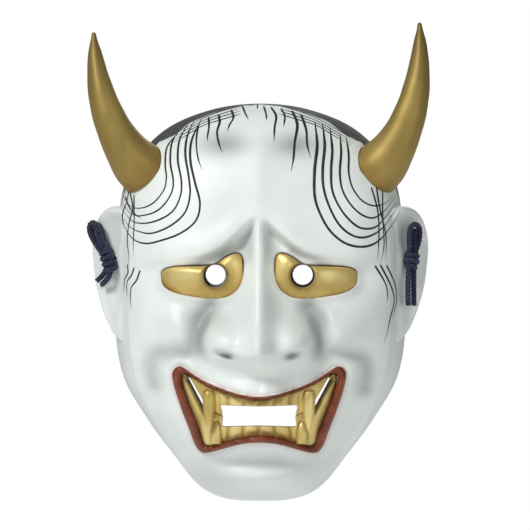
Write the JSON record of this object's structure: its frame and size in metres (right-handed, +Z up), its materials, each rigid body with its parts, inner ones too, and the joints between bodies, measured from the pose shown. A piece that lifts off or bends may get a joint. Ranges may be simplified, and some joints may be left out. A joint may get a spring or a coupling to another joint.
{
  "type": "noh mask",
  "caption": "Carved and painted wooden theatre mask of a horned demon, hollow behind, with plug-in horns, gilt eyes and teeth, and a cord knotted at the ears.",
  "frame": {"origin": "centre of the flat back rim, in the rim's plane", "axes": "+Z up to the crown, -Y out of the face, +X to the viewer's right as seen from the front; left and right in names are the viewer's"},
  "size_m": [0.1827, 0.0834, 0.2546],
  "materials": {
    "gofun_face": "satin",
    "gilt_eye": "satin",
    "gilt_teeth": "satin",
    "gilt_fang": "satin",
    "gold_horn": "satin",
    "peg_wood": "matte",
    "navy_cord": "matte"
  },
  "bodies": {
    "mask": {"face_shell": "gofun_face", "eye_left": "gilt_eye", "eye_right": "gilt_eye", "upper_teeth": "gilt_teeth", "lower_teeth": "gilt_teeth", "upper_fang_left": "gilt_fang", "upper_fang_right": "gilt_fang", "lower_fang_left": "gilt_fang", "lower_fang_right": "gilt_fang", "hanging_cord": "navy_cord", "ear_knot_left": "navy_cord", "ear_knot_right": "navy_cord"},
    "horn_left": {"horn_left": "gold_horn", "horn_peg_left": "peg_wood"},
    "horn_right": {"horn_right": "gold_horn", "horn_peg_right": "peg_wood"}
  },
  "joints": [
    {"name": "horn_left_pull", "type": "slide", "parent": "mask", "child": "horn_left", "axis": [-0.6883, -0.3791, 0.6185], "range_m": [0, 0.03]},
    {"name": "horn_right_pull", "type": "slide", "parent": "mask", "child": "horn_right", "axis": [0.6883, -0.3791, 0.6185], "range_m": [0, 0.03]}
  ]
}
